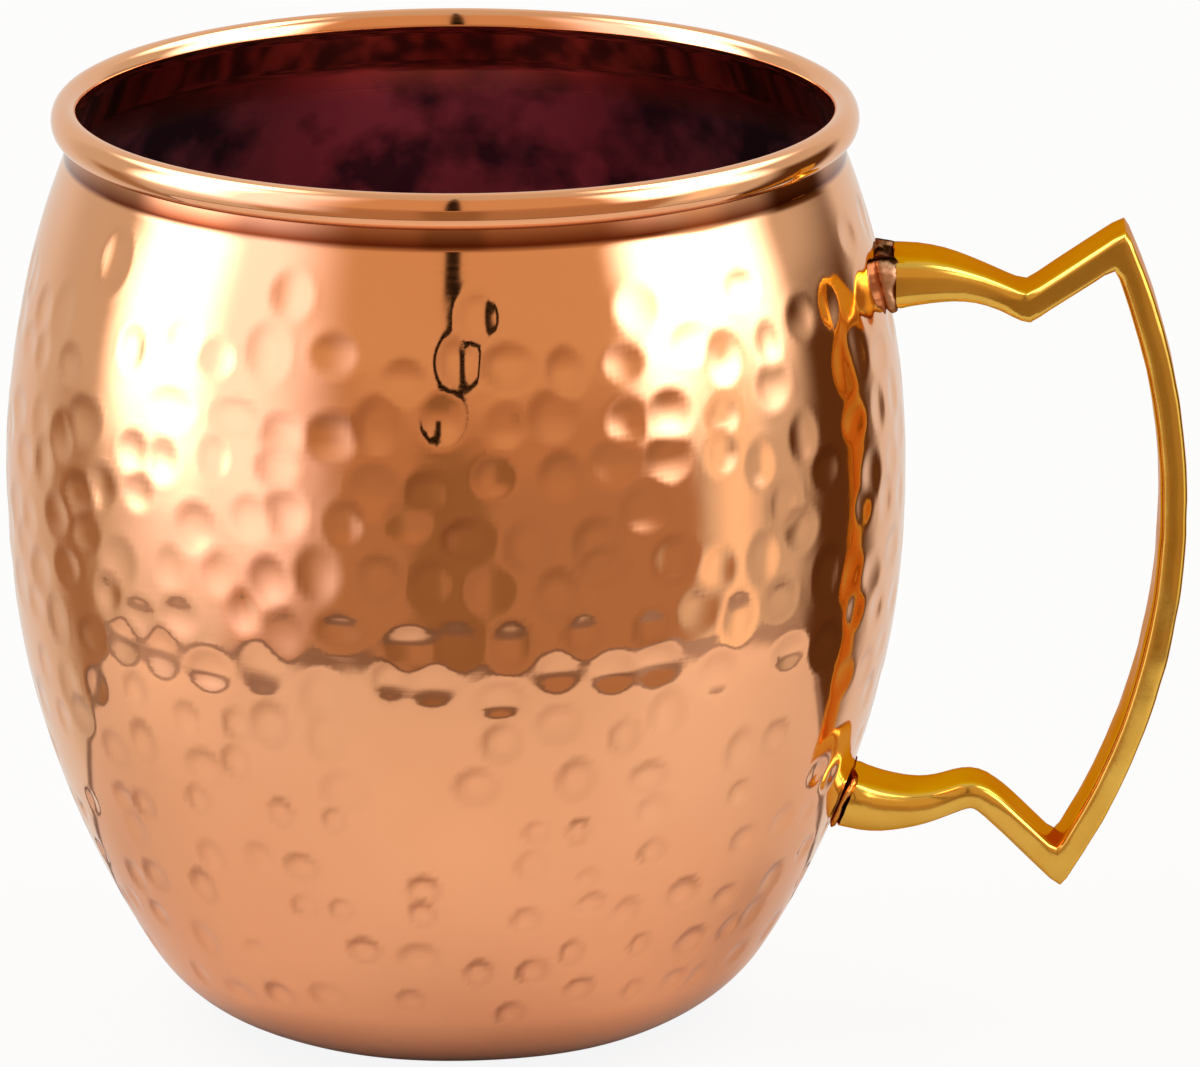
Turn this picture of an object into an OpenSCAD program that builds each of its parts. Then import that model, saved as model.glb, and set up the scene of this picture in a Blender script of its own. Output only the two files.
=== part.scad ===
// Hammered copper mug with a cast brass handle. Millimetres.
// The origin is the centre of the flat base. +Z is up and +X points to the handle.

/* [Cup] */
// Height from the table to the top of the rim
cup_h = 98.4; // [84:0.2:118]
// Outside radius at the belly
belly_r = 47.1; // [43.1:0.5:57.1]
// Height of the belly's widest ring
belly_z = 58; // [48:0.5:70]
// Radius of the flat the cup stands on
base_r = 18; // [15:0.2:22]
// Rounding between the flat and the wall
base_round = 17.5; // [14:0.5:21]
// How far the neck, just under the rim, lies inside the belly
neck_in = 6.4; // [4.4:0.1:10]
// Rounding between the wall and the neck
neck_round = 8.4; // [6.4:0.5:10.4]
// Straight part of the neck, below the bend into the rim
neck_straight = 0.6; // [0.3:0.1:2]
// Thickness of the copper sheet
sheet = 0.9; // [0.6:0.05:1.1]

/* [Rolled rim] */
// How far the roll stands out beyond the neck
rim_out = 1.3; // [0.9:0.1:2.3]
// Width of the roll across the rim
roll_w = 3; // [2.6:0.1:3.6]
// Height of the roll
roll_h = 3.8; // [3.4:0.1:4.8]
// Height over which the wall leans in to the roll
roll_lean = 1.2; // [0.8:0.1:2]
// How far below level the curled edge turns back to the wall, in degrees
roll_end = 80; // [60:1:82]

/* [Handle] */
// Top of the upper arm's curve, below the rim
upper_arm_drop = 18.8; // [15:0.2:26]
// Distance of that top beyond the belly
upper_arm_out = 1.5; // [0.5:0.1:3]
// Curve of the upper arm
upper_arm_r = 20; // [16:0.5:26]
// Slope of the upper arm where it meets the notch, in degrees
upper_arm_droop = 25; // [20:1:30]
// Notch, beyond the belly
notch_out = 12.5; // [12:0.5:15]
// Peak, beyond the belly
peak_out = 22.1; // [20.1:0.5:25.6]
// Peak, below the rim
peak_drop = 15.4; // [12:0.2:18]
// Curve of the long outer strap
strap_r = 71; // [60:0.5:90]
// Lower tip, beyond the belly
tip_out = 16.3; // [14.8:0.5:19.8]
// Height of the lower tip
tip_z = 15.6; // [12:0.2:17]
// Height at which the lower arm leaves the wall
lower_arm_z = 23.2; // [20:0.2:27]
// Curve of the lower arm
lower_arm_r = 15.2; // [13.2:0.5:18.2]
// Slope of the lower arm where it meets the knuckle, in degrees
lower_arm_rise = 25; // [15:1:30]
// Bend radius of the knuckle
knuckle_r = 2.6; // [2.2:0.1:3.2]
// Thickness of the strap
strap_t = 2.8; // [2.3:0.1:3.4]
// Width of the strap
strap_w = 7.8; // [6:0.2:10]
// Rounding of the strap's edges
strap_round = 0.8; // [0.3:0.1:1.1]
// Thickness of the arms at their roots
root_t = 5.2; // [4:0.1:6.4]
// Width of the arms at their roots
root_w = 11.4; // [9:0.2:14]
// Rounding of the edges at the roots
root_round = 1.6; // [0.8:0.1:2]

/* [Brazed joints] */
// Smallest gap between the wall and the upper root's square end
upper_gap = 0.6; // [0.3:0.1:1.2]
// Gap between the wall and the lower root's end, on its axis
lower_gap = 0.5; // [0.3:0.1:1]
// How far the filler stands out round a root
braze_spread = 0.5; // [0.2:0.1:1]

/* [Hidden] */
$fn = 240;

copper = "#d28a5e";
brass = "#c8962e";
filler = "#7a5a3c";

arc_step = 4;          // degrees between the points of a wall's curve
roll_step = 12;        // degrees between the points of the rolled rim
arm_step = 4;          // degrees between the sections of an arm
strap_step = 3;        // degrees between the sections of the outer strap
knuckle_step = 16;     // degrees between the sections of the knuckle
corner_points = 5;     // points round each corner of a section
clear_of_corner = 3;   // run of strap kept free of sections beside a mitred corner
knuckle_lead = 0.7;    // where the knuckle's corner lies past the arm, in bend radii
inside_wall = 3;       // how deep a filler blank starts inside the wall

// ---- Small geometry helpers ----
function mix(a, b, k) = a + (b - a)*k;
function ease(k) = 0.5 - 0.5*cos(180*k);
function steps(sweep, step) = max(2, ceil(abs(sweep)/step));
function arc(c, r, a0, a1, step) =
    let (n = steps(a1 - a0, step))
    [for (i = [0:n]) c + r*[cos(mix(a0, a1, i/n)), sin(mix(a0, a1, i/n))]];
function left_of(d) = [-d.y, d.x];
function unit(v) = v/norm(v);
function heading(a) = [cos(a), sin(a)];
function reversed(v) = [for (i = [len(v) - 1:-1:0]) v[i]];

// ---- Cup wall: two arcs that share the belly, a rounded base and a hollow neck ----
neck_r = belly_r - neck_in;
base_gap = belly_r - base_r;
lower_r = (base_gap^2 + (belly_z - base_round)^2 - base_round^2)/(2*(base_gap - base_round));
lean_z = cup_h - roll_h - roll_lean;
neck_z = lean_z - neck_straight;
upper_r = (neck_in^2 + (neck_z - belly_z)^2)/(2*neck_in) - neck_round;

base_c = [base_r, base_round];
lower_c = [belly_r - lower_r, belly_z];
upper_c = [belly_r - upper_r, belly_z];
neck_c = [neck_r + neck_round, neck_z];
base_angle = atan2(base_c.y - lower_c.y, base_c.x - lower_c.x);
neck_angle = atan2(neck_c.y - upper_c.y, neck_c.x - upper_c.x);

// Outside radius of the wall at height z, between the base rounding and the neck
function wall_r(z) = z < belly_z
    ? lower_c.x + sqrt(lower_r^2 - (z - belly_z)^2)
    : upper_c.x + sqrt(upper_r^2 - (z - belly_z)^2);

// The wall's line from base to neck, moved in by t
function wall_line(t) = concat(
    arc(base_c, base_round - t, -90, base_angle, arc_step),
    arc(lower_c, lower_r - t, base_angle, 0, arc_step),
    arc(upper_c, upper_r - t, 0, neck_angle, arc_step),
    arc(neck_c, neck_round + t, 180 + neck_angle, 180, arc_step));

// ---- Rolled rim: the sheet leans in, then turns over the top and back under ----
roll_half = [roll_w - sheet, roll_h - sheet]/2;
roll_c = [neck_r + rim_out - roll_w/2, cup_h - roll_h/2];
lean_foot = [neck_r - sheet/2, lean_z];
lean_rel = [(lean_foot.x - roll_c.x)/roll_half.x, (lean_foot.y - roll_c.y)/roll_half.y];
roll_start = 360 + atan2(lean_rel.y, lean_rel.x) - acos(1/norm(lean_rel));

// A point of the roll at angle a, moved off the sheet's middle by t
function roll_point(a, t) =
    roll_c + [roll_half.x*cos(a), roll_half.y*sin(a)] + t*unit([cos(a)/roll_half.x, sin(a)/roll_half.y]);
function roll_line(t) =
    let (n = steps(roll_start + roll_end, roll_step))
    [for (i = [0:n]) roll_point(mix(roll_start, -roll_end, i/n), t)];

cup_outline = concat(
    [[0, 0]],
    wall_line(0),
    [[neck_r, lean_foot.y]],
    roll_line(-sheet/2),
    reversed(roll_line(sheet/2)),
    [[neck_r - sheet, lean_foot.y]],
    reversed(wall_line(sheet)),
    [[0, sheet]]);

module cup_shell() {
    color(copper)
        rotate_extrude()
            polygon(cup_outline);
}

// The space inside the wall's outer face, which every joint is cut back to
module cup_envelope() {
    rotate_extrude()
        polygon(concat([[0, 0]], wall_line(0), [[0, neck_z]]));
}

// ---- Handle: sections along a path from the upper root to the lower root ----
// A station is [x, z, normal x, normal z, thickness along the normal, width, rounding]
function station(p, n, t, w, r) = [p.x, p.y, n.x, n.y, t, w, r];
function strap_station(p, n) = station(p, n, strap_t, strap_w, strap_round);
function arm_station(p, n, k) =
    station(p, n, mix(root_t, strap_t, k), mix(root_w, strap_w, k), mix(root_round, strap_round, k));
function mitre(p, d0, d1) =
    let (n = unit(left_of(d0) + left_of(d1)))
    station(p, n, strap_t/(n*left_of(d0)), strap_w, strap_round);

apex = [belly_r + upper_arm_out, cup_h - upper_arm_drop];
upper_root_x = wall_r(apex.y - root_t/2) + upper_gap;
upper_start = asin((upper_root_x - apex.x)/upper_arm_r);
function upper_point(a) = apex + upper_arm_r*[sin(a), cos(a) - 1];
upper_end = upper_point(upper_arm_droop);
droop_dir = heading(-upper_arm_droop);
notch = upper_end + droop_dir*(belly_r + notch_out - upper_end.x)/droop_dir.x;
peak = [belly_r + peak_out, cup_h - peak_drop];
tip = [belly_r + tip_out, tip_z];

strap_chord = tip - peak;
strap_mid = (peak + tip)/2;
strap_c = strap_mid - left_of(unit(strap_chord))*sqrt(strap_r^2 - (norm(strap_chord)/2)^2);
peak_angle = atan2(peak.y - strap_c.y, peak.x - strap_c.x);
tip_angle = atan2(tip.y - strap_c.y, tip.x - strap_c.x);
corner_angle = clear_of_corner/strap_r*180/PI;

lower_wall = [wall_r(lower_arm_z), lower_arm_z];
wall_normal = unit(lower_wall - lower_c);
wall_tilt = atan2(wall_normal.y, wall_normal.x);
lower_root = lower_wall + wall_normal*lower_gap;
lower_arm_c = lower_root + lower_arm_r*left_of(wall_normal);
function lower_point(a) = lower_arm_c + lower_arm_r*[sin(a), -cos(a)];
lower_end = lower_point(lower_arm_rise);
rise_dir = heading(lower_arm_rise);

// The knuckle is the corner between the rising arm and the line to the tip
knuckle = lower_end + rise_dir*knuckle_r*knuckle_lead;
fall_dir = unit(tip - knuckle);
knuckle_turn = acos(rise_dir*fall_dir);
knuckle_c = knuckle + unit(fall_dir - rise_dir)*knuckle_r/cos(knuckle_turn/2);
function knuckle_angle(k) = 90 + mix(atan2(fall_dir.y, fall_dir.x), lower_arm_rise, k);

upper_stations = let (n = steps(upper_arm_droop - upper_start, arm_step))
    [for (i = [0:n])
        let (a = mix(upper_start, upper_arm_droop, i/n))
        arm_station(upper_point(a), i == 0 ? [0, 1] : [sin(a), cos(a)], ease(i/n))];
notch_dir = unit(peak - notch);
notch_station = mitre(notch, droop_dir, notch_dir);
peak_station = mitre(peak, notch_dir, -left_of(heading(peak_angle)));
strap_stations = let (a0 = peak_angle - corner_angle, a1 = tip_angle + corner_angle, n = steps(a1 - a0, strap_step))
    [for (i = [0:n])
        let (d = heading(mix(a0, a1, i/n)))
        strap_station(strap_c + strap_r*d, d)];
tip_station = mitre(tip, -left_of(heading(tip_angle)), -fall_dir);
knuckle_stations = let (n = steps(knuckle_turn, knuckle_step))
    [for (i = [0:n])
        let (d = heading(knuckle_angle(i/n)))
        strap_station(knuckle_c + knuckle_r*d, -d)];
lower_stations = let (n = steps(lower_arm_rise - wall_tilt, arm_step))
    [for (i = [1:n])
        let (a = mix(lower_arm_rise, wall_tilt, i/n))
        arm_station(lower_point(a), [sin(a), -cos(a)], 1 - ease(i/n))];
stations = concat(upper_stations, [notch_station, peak_station], strap_stations,
    [tip_station], knuckle_stations, lower_stations);

// A rectangle with rounded corners, t by w, as [along the normal, across the handle]
function section(t, w, r) = [for (c = [0:3], i = [0:corner_points - 1])
    let (a = 90*(c + i/(corner_points - 1)), side = [c == 1 || c == 2 ? -1 : 1, c < 2 ? 1 : -1])
    [side.x*(t/2 - r) + r*cos(a), side.y*(w/2 - r) + r*sin(a)]];
function ring(s) = [for (q = section(s[4], s[5], s[6])) [s[0] + s[2]*q.x, q.y, s[1] + s[3]*q.x]];

module handle() {
    m = 4*corner_points;
    last = len(stations) - 1;
    sides = [for (i = [0:last - 1], j = [0:m - 1])
        let (k = (j + 1)%m)
        [i*m + j, i*m + k, (i + 1)*m + k, (i + 1)*m + j]];
    first_end = [for (j = [m - 1:-1:0]) j];
    last_end = [for (j = [0:m - 1]) last*m + j];
    color(brass)
        polyhedron(points = [for (s = stations) each ring(s)], faces = concat([first_end, last_end], sides), convexity = 8);
}

// ---- Brazed joints: filler from the wall's face to the end of a root ----
upper_lean = upper_root_x - wall_r(apex.y + root_t/2 + braze_spread);
filler_section = section(root_t + 2*braze_spread, root_w + 2*braze_spread, root_round + braze_spread);

module filler_blank(p, tilt, gap) {
    translate([p.x, 0, p.y])
        rotate([0, -tilt, 0])
            translate([-gap - inside_wall, 0, 0])
                rotate([90, 0, 90])
                    linear_extrude(gap + inside_wall)
                        polygon([for (q = filler_section) [q.y, q.x]]);
}

module upper_braze() {
    color(filler)
        difference() {
            filler_blank([upper_root_x, upper_point(upper_start).y], 0, upper_lean);
            cup_envelope();
        }
}

module lower_braze() {
    color(filler)
        difference() {
            filler_blank(lower_root, wall_tilt, lower_gap);
            cup_envelope();
        }
}

cup_shell();
handle();
upper_braze();
lower_braze();
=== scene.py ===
import math
import random

import bmesh
import bpy
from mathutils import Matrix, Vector, kdtree, noise


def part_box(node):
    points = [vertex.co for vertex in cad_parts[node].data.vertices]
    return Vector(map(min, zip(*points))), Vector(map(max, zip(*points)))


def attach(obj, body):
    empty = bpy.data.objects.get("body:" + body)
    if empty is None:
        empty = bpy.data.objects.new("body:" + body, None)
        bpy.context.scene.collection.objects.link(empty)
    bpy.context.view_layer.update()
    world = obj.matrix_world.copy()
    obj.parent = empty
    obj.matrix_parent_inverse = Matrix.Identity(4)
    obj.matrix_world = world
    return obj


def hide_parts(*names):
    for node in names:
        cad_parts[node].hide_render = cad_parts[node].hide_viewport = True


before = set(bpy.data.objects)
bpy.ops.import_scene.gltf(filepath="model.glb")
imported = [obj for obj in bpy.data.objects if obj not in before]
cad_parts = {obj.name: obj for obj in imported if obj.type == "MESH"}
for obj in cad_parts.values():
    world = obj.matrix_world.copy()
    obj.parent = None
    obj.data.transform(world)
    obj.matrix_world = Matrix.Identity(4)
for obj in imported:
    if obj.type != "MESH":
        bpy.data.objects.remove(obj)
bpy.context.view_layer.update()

mm = 0.001
scene = bpy.context.scene
print("frame loaded:", sorted(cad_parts))


# small helpers

def hexColour(code):
    # sRGB hex to the linear colour that nodes take
    channels = [int(code[i:i + 2], 16) / 255 for i in (1, 3, 5)]
    return [c / 12.92 if c <= 0.04045 else ((c + 0.055) / 1.055) ** 2.4 for c in channels] + [1.0]


def addNode(tree, kind, settings=None, inputs=None):
    # inputs holds plain values, or the output sockets to link
    node = tree.nodes.new("ShaderNode" + kind)
    for name, value in (settings or {}).items():
        setattr(node, name, value)
    for key, value in (inputs or {}).items():
        if isinstance(value, bpy.types.NodeSocket):
            tree.links.new(value, node.inputs[key])
        else:
            node.inputs[key].default_value = value
    return node


def newMaterial(name):
    material = bpy.data.materials.new(name)
    material.use_nodes = True
    tree = material.node_tree
    tree.nodes.clear()
    shader = addNode(tree, "BsdfPrincipled")
    addNode(tree, "OutputMaterial", inputs={"Surface": shader.outputs[0]})
    return material, tree, shader


def blendColours(tree, factor, low, high):
    return addNode(tree, "Mix", {"data_type": "RGBA"}, {0: factor, 6: low, 7: high}).outputs[2]


def meshObject(name, bm, material, body="root"):
    for face in bm.faces:
        face.smooth = True
    mesh = bpy.data.meshes.new(name)
    bm.to_mesh(mesh)
    bm.free()
    mesh.materials.append(material)
    piece = bpy.data.objects.new(name, mesh)
    scene.collection.objects.link(piece)
    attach(piece, body)
    return piece


def perMetre(size):
    # noise scale for a pattern of this size in mm, on coordinates in metres
    return 1 / (size * mm)


def smoothStep(low, high, value):
    k = min(1, max(0, (value - low) / (high - low)))
    return k * k * (3 - 2 * k)


# materials

def hammeredCopper():
    # Copper, spun and planished with a ball hammer, then buffed: a warm mirror with fine buffing lines.
    # The inside is the same copper, painted a deep maroon in mottled patches as painted shade for its dim,
    # many times mirrored hollow.
    # Painted brown shade lies on one side of each hammer mark, and painted shadow in the groove under the
    # roll.
    look = {"bright": "#F6BA8C", "rosy": "#F0AC7C", "paintedShade": "#7E3A1C", "cloudSize": 22.22,
            "inside": "#CE8692", "insideDark": "#64505A", "patchSize": 8.333, "patchEdge": (0.42, 0.6),
            "lineLength": 11.11, "lineGap": 0.2381, "lineHeight": 0.02, "lineStrength": 0.04,
            "buffed": 0.04, "dull": 0.1, "insideRough": 0.34}
    material, tree, shader = newMaterial("hammeredCopper")
    place = addNode(tree, "TexCoord").outputs["Object"]
    cloud = addNode(tree, "TexNoise", inputs={"Vector": place, "Scale": perMetre(look["cloudSize"]),
                                              "Detail": 3}).outputs[0]
    outside = blendColours(tree, cloud, hexColour(look["bright"]), hexColour(look["rosy"]))
    # painted shade on the hammer marks and painted shadow in the groove under the roll
    paintedShadeAmount = addNode(tree, "Attribute", {"attribute_name": "paintedShade"}).outputs["Fac"]
    outside = blendColours(tree, paintedShadeAmount, outside, hexColour(look["paintedShade"]))
    # painted shade: the inside is a deep maroon, mottled darker in patches, standing in for its dim, many
    # times mirrored hollow
    patch = addNode(tree, "TexNoise", inputs={"Vector": place, "Scale": perMetre(look["patchSize"]),
                                              "Detail": 4}).outputs[0]
    dark, paler = look["patchEdge"]
    patch = addNode(tree, "MapRange", inputs={0: patch, 1: dark, 2: paler}).outputs[0]
    darkened = blendColours(tree, patch, hexColour(look["insideDark"]), hexColour(look["inside"]))
    inside = addNode(tree, "Attribute", {"attribute_name": "inside"}).outputs["Fac"]
    tree.links.new(blendColours(tree, inside, outside, darkened), shader.inputs["Base Color"])
    # buffing lines run round the cup, a quarter of a millimetre apart, drawn as stretched noise
    along, across = perMetre(look["lineLength"]), perMetre(look["lineGap"])
    lines = addNode(tree, "Mapping", inputs={"Vector": place, "Scale": (along, along, across)}).outputs[0]
    lines = addNode(tree, "TexNoise", inputs={"Vector": lines, "Scale": 1, "Detail": 2}).outputs[0]
    polish = addNode(tree, "MapRange", inputs={0: lines, 3: look["buffed"], 4: look["dull"]}).outputs[0]
    rough = addNode(tree, "Mix", {"data_type": "FLOAT"}, {0: inside, 2: polish, 3: look["insideRough"]})
    tree.links.new(rough.outputs[0], shader.inputs["Roughness"])
    fine = addNode(tree, "Bump", inputs={"Strength": look["lineStrength"],
                                         "Distance": look["lineHeight"] * mm, "Height": lines})
    tree.links.new(fine.outputs[0], shader.inputs["Normal"])
    shader.inputs["Metallic"].default_value = 1
    return material


def castBrass():
    # Yellow brass, sand cast, filed and lightly polished: golden, with soft broken highlights.
    look = {"gold": "#F3CE64", "deep": "#DCA83E", "edge": "#E09A2C", "cloudSize": 7.143,
            "polished": 0.1, "filed": 0.22, "grainSize": 0.7143, "grainHeight": 0.05, "grainStrength": 0.1,
            "pit": "#3A2406", "pitRadius": 0.8, "pitHeight": 59, "pitFromEdge": 2.6}
    material, tree, shader = newMaterial("castBrass")
    place = addNode(tree, "TexCoord").outputs["Object"]
    cloud = addNode(tree, "TexNoise", inputs={"Vector": place, "Scale": perMetre(look["cloudSize"]),
                                              "Detail": 4}).outputs[0]
    brass = blendColours(tree, cloud, hexColour(look["gold"]), hexColour(look["deep"]))
    # one small casting pit on the strap's front, drawn only as a dark spot: painted shade for a hollow the
    # mesh doesn't have
    low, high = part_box("handle")
    pit = (high.x - look["pitFromEdge"] * mm, low.y, look["pitHeight"] * mm)
    away = addNode(tree, "VectorMath", {"operation": "DISTANCE"}, {0: place, 1: pit}).outputs["Value"]
    edge = look["pitRadius"] * mm
    away = addNode(tree, "MapRange", inputs={0: away, 1: edge / 3, 2: edge}).outputs[0]
    brass = blendColours(tree, away, hexColour(look["pit"]), brass)
    tree.links.new(brass, shader.inputs["Base Color"])
    shader.inputs["Specular Tint"].default_value = hexColour(look["edge"])
    grain = addNode(tree, "TexNoise", inputs={"Vector": place, "Scale": perMetre(look["grainSize"]),
                                              "Detail": 3}).outputs[0]
    polish = addNode(tree, "MapRange", inputs={0: grain, 3: look["polished"], 4: look["filed"]}).outputs[0]
    tree.links.new(polish, shader.inputs["Roughness"])
    bump = addNode(tree, "Bump", inputs={"Strength": look["grainStrength"],
                                         "Distance": look["grainHeight"] * mm, "Height": grain})
    tree.links.new(bump.outputs[0], shader.inputs["Normal"])
    shader.inputs["Metallic"].default_value = 1
    return material


def brazingFiller(name, look, low, high):
    # Brass filler run into the joint with a torch.
    # It is mottled brown and paler at random, and turns darker towards the top of the joint.
    material, tree, shader = newMaterial(name)
    place = addNode(tree, "TexCoord").outputs["Object"]
    patch = addNode(tree, "TexNoise", inputs={"Vector": place, "Scale": perMetre(look["patchSize"]),
                                              "Detail": 4}).outputs[0]
    # the colour turns darker towards the top of the joint, mixed with noise
    rise = addNode(tree, "SeparateXYZ", inputs={0: place}).outputs[2]
    rise = addNode(tree, "MapRange", inputs={0: rise, 1: low.z, 2: high.z}).outputs[0]
    darkening = addNode(tree, "Math", {"operation": "ADD"}, {0: patch, 1: rise}).outputs[0]
    undarkened, darkest = look["darkeningEdge"]
    darkening = addNode(tree, "MapRange", inputs={0: darkening, 1: undarkened, 2: darkest}).outputs[0]
    colour = blendColours(tree, patch, hexColour(look["run"]), hexColour(look["scraped"]))
    colour = blendColours(tree, darkening, colour, hexColour(look["darkest"]))
    tree.links.new(colour, shader.inputs["Base Color"])
    bump = addNode(tree, "Bump", inputs={"Strength": look["roughStrength"],
                                         "Distance": look["roughHeight"] * mm, "Height": patch})
    tree.links.new(bump.outputs[0], shader.inputs["Normal"])
    shader.inputs["Metallic"].default_value = 1
    shader.inputs["Roughness"].default_value = look["roughness"]
    shader.inputs["Specular Tint"].default_value = hexColour(look["run"])
    return material


# cup

cup = {
    "bellyHeight": 58, "baseRadius": 18, "baseRound": 17.5, "neckIn": 6.4, "neckRound": 3,
    "neckStraight": 0.4, "sheet": 0.9, "rimOut": 1.3, "rollWidth": 3, "rollHeight": 3.8,
    "rollLean": 1.2, "rollEnd": 80,
    "turnSteps": 416,  # faces round the cup, 0.71 mm at the belly
    "outerSteps": (26, 78, 52, 10),  # along the base, belly, shoulder and neck
    "innerSteps": (6, 16, 10, 4),
    "rollSteps": (9, 18),  # along the inside and the outside of the curl
    "floorRings": (0, 6, 12), "liningRings": (0, 9),
    "grooveRise": -0.1, "grooveHalf": 1.1, "grooveCore": 0.3,  # painted shadow in the groove under the roll
    "darkOver": 4, "liningShare": 0.6,  # the painted shade of the inside starts below the neck; marks show less in it
}
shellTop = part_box("cup_shell")[1]
cupHeight = shellTop.z / mm
bellyRadius = shellTop.y / mm


def arcPoints(centre, radius, start, end, count):
    angles = [math.radians(start + (end - start) * i / count) for i in range(count + 1)]
    return [(centre[0] + radius * math.cos(a), centre[1] + radius * math.sin(a)) for a in angles]


def wallCurves():
    # centres, radii and end angles of the four arcs from the flat to the neck
    gap = bellyRadius - cup["baseRadius"]
    foot = cup["baseRound"]
    belly = cup["bellyHeight"]
    lowerRadius = (gap ** 2 + (belly - foot) ** 2 - foot ** 2) / (2 * (gap - foot))
    leanHeight = cupHeight - cup["rollHeight"] - cup["rollLean"]
    neckHeight = leanHeight - cup["neckStraight"]
    neckIn = cup["neckIn"]
    upperRadius = (neckIn ** 2 + (neckHeight - belly) ** 2) / (2 * neckIn) - cup["neckRound"]
    base = (cup["baseRadius"], foot)
    lower = (bellyRadius - lowerRadius, belly)
    upper = (bellyRadius - upperRadius, belly)
    neck = (bellyRadius - neckIn + cup["neckRound"], neckHeight)
    baseAngle = math.degrees(math.atan2(base[1] - lower[1], base[0] - lower[0]))
    neckAngle = math.degrees(math.atan2(neck[1] - upper[1], neck[0] - upper[0]))
    arcs = [(base, foot, -90, baseAngle, 1), (lower, lowerRadius, baseAngle, 0, 1),
            (upper, upperRadius, 0, neckAngle, 1), (neck, cup["neckRound"], 180 + neckAngle, 180, -1)]
    return arcs, leanHeight


curves, leanHeight = wallCurves()


def wallLine(inset, counts):
    line = []
    for (centre, radius, start, end, side), count in zip(curves, counts):
        line += arcPoints(centre, radius - side * inset, start, end, count)[len(line) > 0:]
    return line


def rollLine(offset, count):
    sheet = cup["sheet"]
    half = ((cup["rollWidth"] - sheet) / 2, (cup["rollHeight"] - sheet) / 2)
    neckRadius = bellyRadius - cup["neckIn"]
    centre = (neckRadius + cup["rimOut"] - cup["rollWidth"] / 2, cupHeight - cup["rollHeight"] / 2)
    foot = ((neckRadius - sheet / 2 - centre[0]) / half[0], (leanHeight - centre[1]) / half[1])
    start = 360 + math.degrees(math.atan2(foot[1], foot[0]) - math.acos(1 / math.hypot(*foot)))
    points = []
    for i in range(count + 1):
        a = math.radians(start + (-cup["rollEnd"] - start) * i / count)
        out = Vector((math.cos(a) / half[0], math.sin(a) / half[1])).normalized() * offset
        points.append((centre[0] + half[0] * math.cos(a) + out.x,
                       centre[1] + half[1] * math.sin(a) + out.y))
    return points


def wallRadius(height):
    lower, upper = curves[1], curves[2]
    centre, radius = (lower if height < cup["bellyHeight"] else upper)[:2]
    return centre[0] + math.sqrt(radius ** 2 - (height - centre[1]) ** 2)


hammer = {
    "seed": 7, "topRow": 86.0, "bottomRow": 10.0, "rowGap": 5.4, "alongGap": 6.0,
    "rowStray": 1.6, "alongStray": 0.26, "stretch": (0.86, 1.16),  # how uneven the blows are
    "denseBelow": 82.5, "faintBelow": 45.0, "smallBelow": 32.0,
    "topChance": 0.45, "markChance": 0.94, "faintChance": 0.8, "smallChance": 0.78,
    "markRadius": (2.3, 3.15), "markDepth": (0.12, 0.22),
    "faintRadius": (2.0, 2.8), "faintDepth": (0.08, 0.15),
    "smallRadius": (1.5, 2.3), "smallDepth": (0.15, 0.27),
    "edge": 1.4,  # how softly a mark runs out at its edge
    "markPaintedShade": 0.28, "faintPaintedShade": 0.36, "smallPaintedShade": 0.5,  # painted shade, most of it on one side of a mark
    "leastPaintedShade": 0.2,  # share of that on the least shaded mark
    "paintedShadeFrom": (0.3, 0.75), "paintedShadeTo": (1.1, 0.85),  # where the painted shade starts and ends, in mark radii
    "paintedShadeSide": 0.9, "paintedShadeTurn": 0.9,  # which side that is, up and to the left, and its stray
    "allRound": 0.3,  # how much painted shade goes all the way round
    "lip": 0.02, "lipWidth": 0.5,
    "wave": 0.14, "waveLength": 16,
}


def hammerMarks():
    # rows of marks round the wall: sparse at the top, dense on the upper belly, faint below
    rng = random.Random(hammer["seed"])
    marks = []
    height = hammer["topRow"]
    row = 0
    while height > hammer["bottomRow"]:
        count = round(2 * math.pi * wallRadius(height) / hammer["alongGap"])
        kind = "mark" if height > hammer["faintBelow"] else "faint"
        kind = "small" if height < hammer["smallBelow"] else kind
        chance = hammer["topChance"] if height > hammer["denseBelow"] else hammer[kind + "Chance"]
        for i in range(count):
            z = height + rng.uniform(-1, 1) * hammer["rowStray"]
            angle = 2 * math.pi * (i + row % 2 / 2 + rng.uniform(-1, 1) * hammer["alongStray"]) / count
            size = rng.uniform(*hammer[kind + "Radius"])
            depth = rng.uniform(*hammer[kind + "Depth"])
            stretch = rng.uniform(*hammer["stretch"])
            if rng.random() < chance:
                markShade = hammer[kind + "PaintedShade"] * rng.uniform(hammer["leastPaintedShade"], 1)
                side = hammer["paintedShadeSide"] + rng.uniform(-1, 1) * hammer["paintedShadeTurn"]
                marks.append((angle, z, size, depth, stretch, markShade, side))
        height -= hammer["rowGap"]
        row += 1
    return marks


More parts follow.
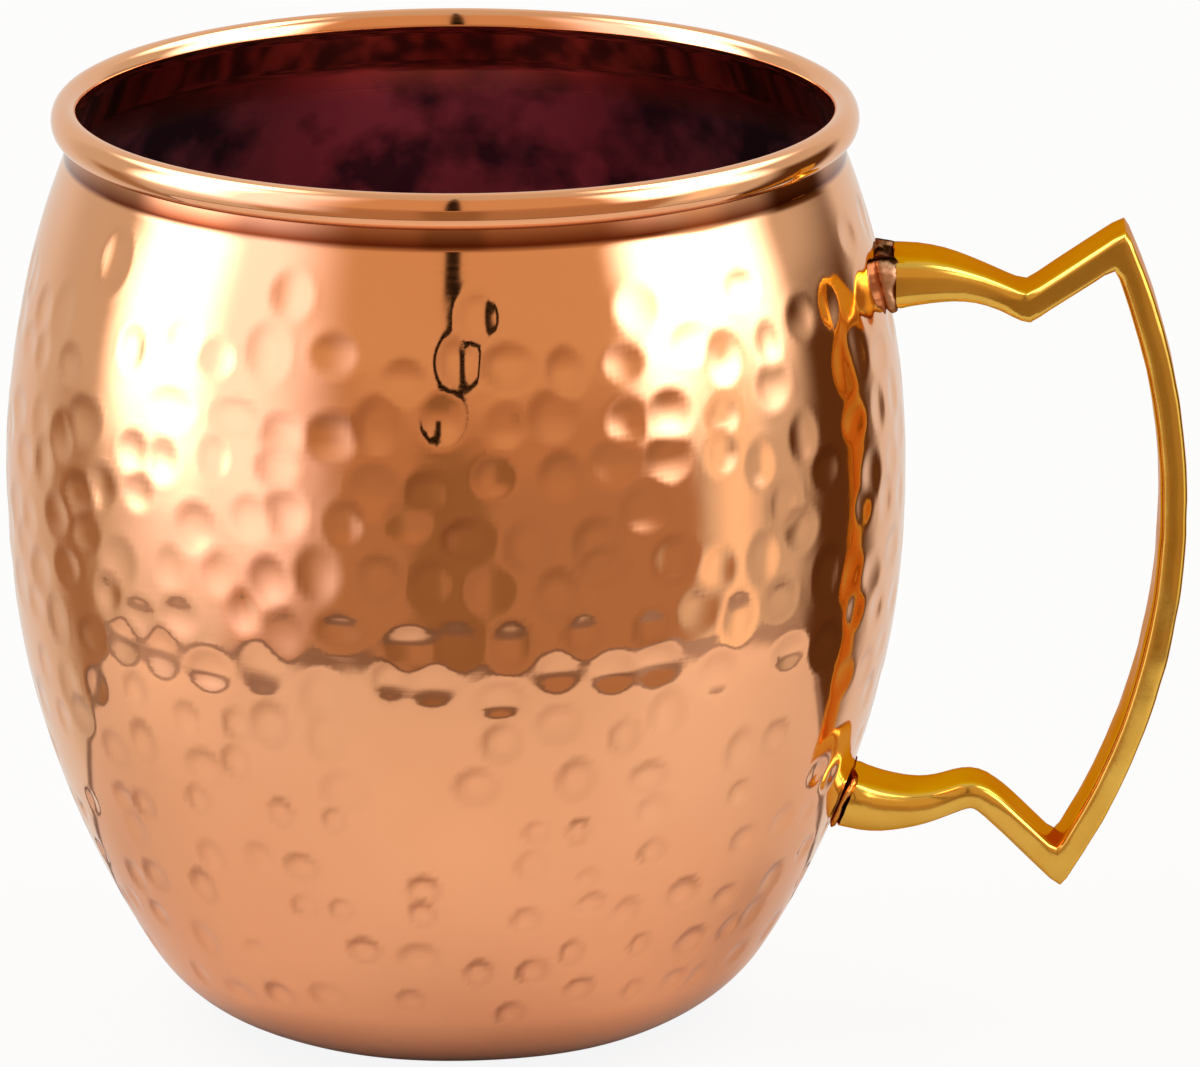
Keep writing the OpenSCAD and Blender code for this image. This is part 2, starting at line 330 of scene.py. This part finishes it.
def strikeWall(verts, marks, paintedShadeLayer, share):
    # pushes the marks into one side of the wall; share is how much of each mark that side shows
    tree = kdtree.KDTree(len(verts))
    for i, vert in enumerate(verts):
        tree.insert(vert.co, i)
    tree.balance()
    sunk = [0.0] * len(verts)
    raised = [0.0] * len(verts)
    paintedShadeAmount = [0.0] * len(verts)
    for angle, z, size, depth, stretch, markShade, side in marks:
        around = Vector((-math.sin(angle), math.cos(angle), 0))
        radius = wallRadius(z)
        centre = Vector((radius * math.cos(angle), radius * math.sin(angle), z)) * mm
        farthest = (size * 1.2 + 2) * mm  # the lip dies out a little past the edge
        for co, i, distance in tree.find_range(centre, farthest):
            along = (co - centre).dot(around) / mm
            upward = math.sqrt(max(0, (distance / mm) ** 2 - along ** 2)) / stretch
            upward = math.copysign(upward, co.z - centre.z)
            sideways = along * stretch
            reach = math.hypot(sideways, upward)
            # painted shade: darker on the up-and-left side of each mark and a little all round, standing in
            # for the darker surroundings its slope mirrors
            onSide = (math.sin(side) * upward - math.cos(side) * sideways) / max(reach, 0.01)
            ring = smoothStep(*hammer["paintedShadeFrom"], reach / size)
            ring *= smoothStep(*hammer["paintedShadeTo"], reach / size)
            paintedShadeAmount[i] = max(paintedShadeAmount[i], markShade * ring * (hammer["allRound"] + max(0, onSide)))
            if reach < size:
                sunk[i] = max(sunk[i], depth * (1 - (reach / size) ** 2) ** hammer["edge"])
            fromEdge = (reach - size) / hammer["lipWidth"]
            raised[i] = max(raised[i], hammer["lip"] * math.exp(-fromEdge ** 2))
    for vert, low, high, left in zip(verts, sunk, raised, paintedShadeAmount):
        wave = hammer["wave"] * noise.noise(vert.co / mm / hammer["waveLength"])
        fade = smoothStep(leanHeight, hammer["topRow"], vert.co.z / mm)
        outward = Vector((vert.co.x, vert.co.y, 0)).normalized()
        tilt = vert.normal if vert.normal.dot(outward) > 0 else -vert.normal
        vert.co += tilt * ((high - low) * share + wave * fade) * mm
        vert[paintedShadeLayer] = max(vert[paintedShadeLayer], left)


def makeCup(material):
    bm = bmesh.new()
    sheet = cup["sheet"]
    under, over = cup["rollSteps"]
    outer = [(r, 0) for r in cup["floorRings"]] + wallLine(0, cup["outerSteps"])
    inner = [(r, sheet) for r in cup["liningRings"]] + wallLine(sheet, cup["innerSteps"])
    outline = outer + rollLine(-sheet / 2, under) + rollLine(sheet / 2, over)[::-1] + inner[::-1]
    verts = [bm.verts.new((r * mm, 0, z * mm)) for r, z in outline]
    edges = [bm.edges.new(pair) for pair in zip(verts, verts[1:])]
    bmesh.ops.spin(bm, geom=verts + edges, axis=(0, 0, 1), cent=(0, 0, 0), steps=cup["turnSteps"],
                   angle=2 * math.pi, use_merge=True)
    bmesh.ops.remove_doubles(bm, verts=bm.verts, dist=0.0001 * mm)
    bmesh.ops.recalc_face_normals(bm, faces=bm.faces)
    bm.normal_update()
    print("cup turned:", len(bm.faces), "faces")
    insideLayer = bm.verts.layers.float.new("inside")
    paintedShadeLayer = bm.verts.layers.float.new("paintedShade")
    wall, lining = [], []
    for vert in bm.verts:
        outward = Vector((vert.co.x, vert.co.y, 0))
        onWall = vert.co.z / mm < leanHeight
        isInside = onWall and (vert.normal.dot(outward) < 0 or vert.normal.z > 0.5)
        if isInside:
            # painted shade: the inside fades to the dark maroon below the neck
            vert[insideLayer] = smoothStep(leanHeight, leanHeight - cup["darkOver"], vert.co.z / mm)
        else:
            # painted shadow in the groove under the roll, through the same attribute as the marks' painted
            # shade
            past = abs(vert.co.z / mm - leanHeight - cup["grooveRise"]) / cup["grooveHalf"]
            vert[paintedShadeLayer] = smoothStep(1, cup["grooveCore"], past)
        if onWall and outward.length > cup["baseRadius"] * mm:
            (lining if isInside else wall).append(vert)
    marks = hammerMarks()
    strikeWall(wall, marks, paintedShadeLayer, 1)
    strikeWall(lining, marks, paintedShadeLayer, cup["liningShare"])
    print("hammer marks struck:", len(marks))
    piece = meshObject("hammered_cup", bm, material)
    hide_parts("cup_shell")
    return piece


# handle

def nodeCopy(node):
    bm = bmesh.new()
    bm.from_mesh(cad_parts[node].data)
    bmesh.ops.remove_doubles(bm, verts=bm.verts, dist=0.001 * mm)
    return bm


casting = {
    "flatAngle": 3, "edgeLength": 1.5, "rounds": 3,  # how finely the casting is cut up
    "armEnd": 58, "rootKept": 2, "armSoftening": 4,  # the arms are worn softer than the rest
    "cornerAngle": 28, "unevenness": 0.08, "unevenLength": 4, "unevenShift": (3, 7, 1),
}


def soften(bm, verts, times):
    for i in range(times):
        bmesh.ops.smooth_vert(bm, verts=verts, factor=0.5,
                              use_axis_x=True, use_axis_y=True, use_axis_z=True)


def makeHandle(material):
    bm = nodeCopy("handle")
    bmesh.ops.join_triangles(bm, faces=bm.faces, angle_face_threshold=math.radians(casting["flatAngle"]),
                             angle_shape_threshold=math.pi)
    for i in range(casting["rounds"]):
        long = [e for e in bm.edges if e.calc_length() > casting["edgeLength"] * mm]
        bmesh.ops.subdivide_edges(bm, edges=long, cuts=1, use_grid_fill=True)
    bmesh.ops.triangulate(bm, faces=[f for f in bm.faces if len(f.verts) > 4])
    soften(bm, bm.verts, 1)
    arms = [v for v in bm.verts if v.co.x < casting["armEnd"] * mm
            and math.hypot(v.co.x, v.co.y) > (wallRadius(v.co.z / mm) + casting["rootKept"]) * mm]
    soften(bm, arms, casting["armSoftening"])
    bm.normal_update()
    for vert in bm.verts:
        lump = noise.noise(vert.co / mm / casting["unevenLength"] + Vector(casting["unevenShift"]))
        vert.co += vert.normal * lump * casting["unevenness"] * mm
    bm.normal_update()
    for edge in bm.edges:
        edge.smooth = edge.calc_face_angle() < math.radians(casting["cornerAngle"])
    print("handle cast:", len(bm.faces), "faces")
    piece = meshObject("cast_handle", bm, material)
    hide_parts("handle")
    return piece


# brazed joints

bead = {
    "edgeLength": 0.7, "rounds": 4,  # how finely the joint is cut up before it is softened
    "softening": 7, "lump": 0.13, "lumpLength": 2.6,
    "taper": 0.06, "taperOver": 1.2,  # how much narrower it is this far from the wall
    "overlap": 0.4,  # how far it runs on to the handle
}
darkerFiller = {
    "darkest": "#2A1A0C", "run": "#8E5A34", "scraped": "#DAAE88", "darkeningEdge": (1.3, 1.5),
    "roughness": 0.42, "patchSize": 2.381, "roughHeight": 0.12, "roughStrength": 0.4,
}
lighterFiller = {
    "darkest": "#6E3A14", "run": "#B8742C", "scraped": "#E6AE56", "darkeningEdge": (1.35, 1.55),
    "roughness": 0.28, "patchSize": 2.381, "roughHeight": 0.12, "roughStrength": 0.4,
}


def makeBraze(node, name, look, shift):
    bm = nodeCopy(node)
    low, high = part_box(node)
    material = brazingFiller(name + "Filler", look, low, high)
    middle = (low + high) / 2
    for i in range(bead["rounds"]):
        long = [e for e in bm.edges if e.calc_length() > bead["edgeLength"] * mm]
        bmesh.ops.subdivide_edges(bm, edges=long, cuts=1)
    bmesh.ops.triangulate(bm, faces=bm.faces)
    soften(bm, bm.verts, bead["softening"])
    bm.normal_update()
    for vert in bm.verts:
        away = math.hypot(vert.co.x, vert.co.y) - wallRadius(vert.co.z / mm) * mm
        narrow = 1 - bead["taper"] * smoothStep(0, bead["taperOver"] * mm, away)
        vert.co.y = middle.y + (vert.co.y - middle.y) * narrow
        vert.co.z = middle.z + (vert.co.z - middle.z) * narrow
        lump = noise.noise(vert.co / mm / bead["lumpLength"] + Vector(shift))
        vert.co += vert.normal * lump * bead["lump"] * mm
        vert.co.x += bead["overlap"] * smoothStep(middle.x, high.x, vert.co.x) * mm
    piece = meshObject(name, bm, material)
    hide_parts(node)
    return piece


# studio

studio = {
    "tent": "#D8D2C8", "white": "#FFFFFF",
    "floorSize": 6.0, "under": "#9C9690", "near": "#C4C0BC", "far": "#B4B0AB", "roughness": 0.5,
    "underRadius": 0.02, "nearRadius": 0.034, "farRadius": 0.12,
    "tableRadius": 0.157, "tableEdge": 0.008, "edgeBand": 0.008, "edgeColour": "#5E5048",
    "behindCut": 3.3, "whiten": 0.9,
    "cameraPlace": (15.04, 15.896, 1200),  # sideways in mm, degrees above level, mm from the cup's middle
    "aimHeight": 51.36, "lens": 343.0,
}
# Each panel: azimuth of its middle and half width, lowest and highest edge, softness, colour, strength.
# Azimuth 0 is in front of the cup and 90 is on the handle's side, all in degrees.
panels = [
    {"at": 180, "half": 44, "low": -40, "high": 60, "soft": 8, "colour": "#E8E4DE", "power": 1.0},
    {"at": 0, "half": 52, "low": -30, "high": 70, "soft": 8, "colour": "#DDB893", "power": 1.0},
    {"at": 0, "half": 62, "low": -40, "high": 9, "soft": 5, "colour": "#C29975", "power": 1.0},
    {"at": 5, "half": 58, "low": -40, "high": -2, "soft": 4, "colour": "#B79373", "power": 1.0},
    {"at": 0, "half": 9, "low": -40, "high": 3, "soft": 3, "colour": "#9C7B59", "power": 1.0},
    {"at": -66, "half": 25, "low": -16, "high": 60, "soft": 14, "colour": "#F2ECFF", "power": 2.0},
    {"at": -84, "half": 15, "low": -4, "high": 48, "soft": 8, "colour": "#FBF8FF", "power": 5.0},
    {"at": 74, "half": 23, "low": 4, "high": 48, "soft": 9, "colour": "#FBF8FF", "power": 5.0},
    {"at": 76, "half": 7, "low": -26, "high": 6, "soft": 6, "colour": "#FFF0DC", "power": 1.2},
    {"at": 112, "half": 24, "low": 36, "high": 66, "soft": 8, "colour": "#FFFFFF", "power": 6.0},
    {"at": -112, "half": 24, "low": 36, "high": 66, "soft": 8, "colour": "#FFFFFF", "power": 5.0},
    {"at": 119, "half": 16, "low": -50, "high": 4, "soft": 6, "colour": "#5E4024", "power": 1.0},
    {"at": -114, "half": 9, "low": -50, "high": -8, "soft": 6, "colour": "#A88C70", "power": 1.0},
    {"at": 0, "half": 2.2, "low": 8, "high": 90, "soft": 0.5, "colour": "#120A06", "power": 1.0},
]


def makeWorld():
    world = bpy.data.worlds.new("studioTent")
    scene.world = world
    world.use_nodes = True
    tree = world.node_tree
    tree.nodes.clear()
    way = addNode(tree, "TexCoord").outputs["Generated"]
    axes = addNode(tree, "SeparateXYZ", inputs={0: way}).outputs
    front = addNode(tree, "Math", {"operation": "MULTIPLY"}, {0: axes[1], 1: -1}).outputs[0]
    turn = addNode(tree, "Math", {"operation": "ARCTAN2"}, {0: axes[0], 1: front}).outputs[0]
    turn = addNode(tree, "Math", {"operation": "DEGREES"}, {0: turn}).outputs[0]
    rise = addNode(tree, "Math", {"operation": "ARCSINE"}, {0: axes[2]}).outputs[0]
    rise = addNode(tree, "Math", {"operation": "DEGREES"}, {0: rise}).outputs[0]
    colour = hexColour(studio["tent"])
    for panel in panels:
        soft = panel["soft"]
        off = addNode(tree, "Math", {"operation": "SUBTRACT"}, {0: turn, 1: panel["at"]}).outputs[0]
        off = addNode(tree, "Math", {"operation": "ABSOLUTE"}, {0: off}).outputs[0]
        rest = addNode(tree, "Math", {"operation": "SUBTRACT"}, {0: 360, 1: off}).outputs[0]
        off = addNode(tree, "Math", {"operation": "MINIMUM"}, {0: off, 1: rest}).outputs[0]
        masks = []
        for value, outer, inner in ((off, panel["half"] + soft, panel["half"] - soft),
                                    (rise, panel["low"] - soft, panel["low"] + soft),
                                    (rise, panel["high"] + soft, panel["high"] - soft)):
            masks.append(addNode(tree, "MapRange", {"interpolation_type": "SMOOTHSTEP"},
                                 {0: value, 1: outer, 2: inner, 3: 0, 4: 1}).outputs[0])
        mask = addNode(tree, "Math", {"operation": "MULTIPLY"}, {0: masks[0], 1: masks[1]}).outputs[0]
        mask = addNode(tree, "Math", {"operation": "MULTIPLY"}, {0: mask, 1: masks[2]}).outputs[0]
        lit = [c * panel["power"] for c in hexColour(panel["colour"])[:3]] + [1]
        colour = blendColours(tree, mask, colour, lit)
    direct = addNode(tree, "LightPath").outputs["Is Camera Ray"]
    colour = blendColours(tree, direct, colour, hexColour(studio["white"]))
    sky = addNode(tree, "Background", inputs={"Color": colour, "Strength": 1})
    addNode(tree, "OutputWorld", inputs={"Surface": sky.outputs[0]})


def makeFloor():
    bm = bmesh.new()
    bmesh.ops.create_grid(bm, x_segments=1, y_segments=1, size=studio["floorSize"] / 2)
    mesh = bpy.data.meshes.new("floor")
    bm.to_mesh(mesh)
    bm.free()
    floor = bpy.data.objects.new("floor", mesh)
    scene.collection.objects.link(floor)
    material, tree, shader = newMaterial("paleTable")
    place = addNode(tree, "TexCoord").outputs["Object"]
    reach = addNode(tree, "VectorMath", {"operation": "LENGTH"}, {0: place}).outputs["Value"]
    under, near, far = studio["underRadius"], studio["nearRadius"], studio["farRadius"]
    # painted contact shadow: the floor is darker right under the cup, then lighter near it and greyer
    # farther out
    contact = addNode(tree, "MapRange", inputs={0: reach, 1: under, 2: near}).outputs[0]
    away = addNode(tree, "MapRange", inputs={0: reach, 1: near, 2: far}).outputs[0]
    pale = blendColours(tree, away, hexColour(studio["near"]), hexColour(studio["far"]))
    pale = blendColours(tree, contact, hexColour(studio["under"]), pale)
    shader.inputs["Roughness"].default_value = studio["roughness"]
    # mirrored in the cup, the table ends a hand's width away, sooner behind, and the tent shows past it
    behind = addNode(tree, "SeparateXYZ", inputs={0: place}).outputs[1]
    behind = addNode(tree, "Math", {"operation": "MAXIMUM"}, {0: behind, 1: 0}).outputs[0]
    spread = addNode(tree, "Math", {"operation": "MULTIPLY_ADD"},
                     {0: behind, 1: studio["behindCut"], 2: reach}).outputs[0]
    rim, soft, band = studio["tableRadius"], studio["tableEdge"], studio["edgeBand"]
    past = addNode(tree, "MapRange", inputs={0: spread, 1: rim, 2: rim + soft}).outputs[0]
    rays = addNode(tree, "LightPath").outputs
    shaded = addNode(tree, "MapRange", inputs={0: spread, 1: rim - band - soft, 2: rim - band,
                                               4: rays["Is Glossy Ray"]}).outputs[0]
    pale = blendColours(tree, shaded, pale, hexColour(studio["edgeColour"]))
    tree.links.new(pale, shader.inputs["Base Color"])
    gone = addNode(tree, "Math", {"operation": "MULTIPLY"}, {0: past, 1: rays["Is Glossy Ray"]}).outputs[0]
    clear = addNode(tree, "BsdfTransparent").outputs[0]
    table = addNode(tree, "MixShader", inputs={0: gone, 1: shader.outputs[0], 2: clear}).outputs[0]
    # seen straight on it is nearly washed out to white, as on a lit sweep
    seen = addNode(tree, "Math", {"operation": "MULTIPLY"}, {0: studio["whiten"], 1: rays["Is Camera Ray"]})
    glow = addNode(tree, "Emission", inputs={"Color": hexColour(studio["white"])}).outputs[0]
    table = addNode(tree, "MixShader", inputs={0: seen.outputs[0], 1: table, 2: glow}).outputs[0]
    output = next(n for n in tree.nodes if n.type == "OUTPUT_MATERIAL")
    tree.links.new(table, output.inputs["Surface"])
    mesh.materials.append(material)


def makeCamera():
    sideways, above, distance = studio["cameraPlace"]
    above = math.radians(above)
    aim = Vector((sideways, 0, studio["aimHeight"])) * mm
    camera = bpy.data.objects.new("camera", bpy.data.cameras.new("camera"))
    camera.location = aim + Vector((0, -math.cos(above), math.sin(above))) * distance * mm
    camera.rotation_euler = (math.pi / 2 - above, 0, 0)
    camera.data.lens = studio["lens"]
    camera.data.clip_end = 20
    scene.collection.objects.link(camera)
    scene.camera = camera


scene.view_settings.view_transform = "Standard"
makeWorld()
makeFloor()
makeCamera()
print("studio ready")
makeCup(hammeredCopper())
makeHandle(castBrass())
makeBraze("upper_braze", "upper_braze_bead", darkerFiller, (1, 5, 2))  # the last three numbers give
makeBraze("lower_braze", "lower_braze_bead", lighterFiller, (8, 3, 6))  # each bead its own lumps
print("brazed joints made")
